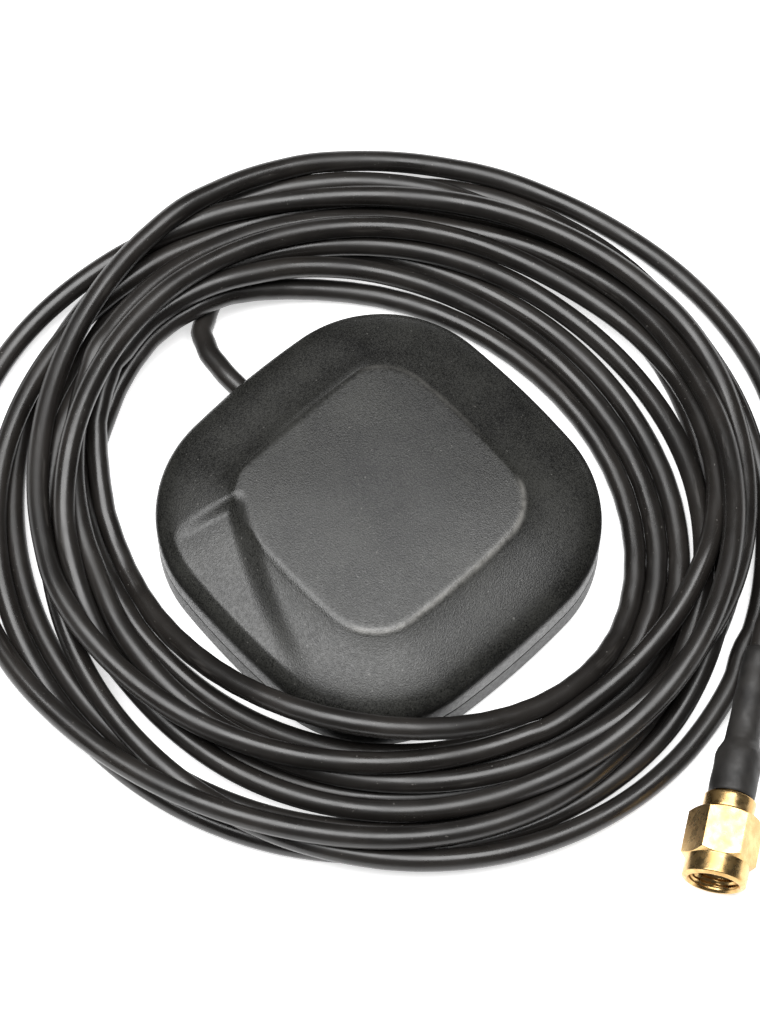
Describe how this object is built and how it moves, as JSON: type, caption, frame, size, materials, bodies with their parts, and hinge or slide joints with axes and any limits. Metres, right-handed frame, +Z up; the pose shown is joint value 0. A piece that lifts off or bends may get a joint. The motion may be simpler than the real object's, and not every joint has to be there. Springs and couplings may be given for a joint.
{
  "type": "active gnss antenna",
  "caption": "Magnetic-mount puck antenna for satellite positioning, with its thin black coax lead coiled round it and a gold screw-on coax plug.",
  "frame": {"origin": "centre of the puck's underside, on the surface it stands on", "axes": "+Z up through the puck; the lead leaves the middle of the +Y side; the plug lies on the -Y side"},
  "size_m": [0.1065, 0.1175, 0.0141],
  "materials": {
    "cover_abs": "moulded ABS with a fine spark-eroded stipple",
    "base_abs": "moulded ABS, smoother than the cover",
    "rubber": "soft black rubber",
    "pad_rubber": "thin foam rubber sheet",
    "jacket": "extruded PVC, semi-gloss with light scuffs",
    "heat_shrink": "shrunk polyolefin sleeve, satin",
    "gold": "gold plated brass, turned",
    "nut_gold": "gold plated brass, milled flats",
    "screw_steel": "zinc plated",
    "magnet_nickel": "nickel plated magnet block",
    "spring_wire": "spring wire",
    "tin": "tinned steel sheet",
    "silver": "fired silver film",
    "ceramic": "sintered dielectric ceramic",
    "board": "glass epoxy board with solder resist",
    "epoxy": "moulded epoxy",
    "filter_lid": "plated metal lid",
    "tape": "acrylic foam tape",
    "ptfe": "white fluoropolymer"
  },
  "bodies": {
    "antenna": {"top_cover": "cover_abs", "base_plate": "base_abs", "seal_gasket": "rubber", "bottom_pad": "pad_rubber", "screw_1": "screw_steel", "screw_2": "screw_steel", "screw_3": "screw_steel", "screw_4": "screw_steel", "magnet_left": "magnet_nickel", "magnet_right": "magnet_nickel", "lna_board": "board", "patch_tape": "tape", "patch_ceramic": "ceramic", "patch_electrode": "silver", "feed_pin": "gold", "shield_can": "tin", "lna_chip": "epoxy", "saw_filter": "filter_lid", "bypass_capacitor": "ceramic", "cable_ground_clamp": "tin", "cable_core": "ptfe", "cable_grommet": "rubber", "cable_lead_out": "jacket", "cable_coil": "jacket", "cable_tail": "jacket", "connector_body": "gold", "dielectric_insert": "ptfe", "center_pin": "gold", "snap_ring": "spring_wire", "crimp_ferrule": "gold", "heat_shrink": "heat_shrink"},
    "nut": {"coupling_nut": "nut_gold", "mating_seal_ring": "rubber"}
  },
  "joints": [
    {"name": "coupling_nut_spin", "type": "hinge", "parent": "antenna", "child": "nut", "pos_m": [-0.0022, -0.0617, 0.00405], "axis": [-0.8285, -0.56, 0], "continuous": true}
  ]
}
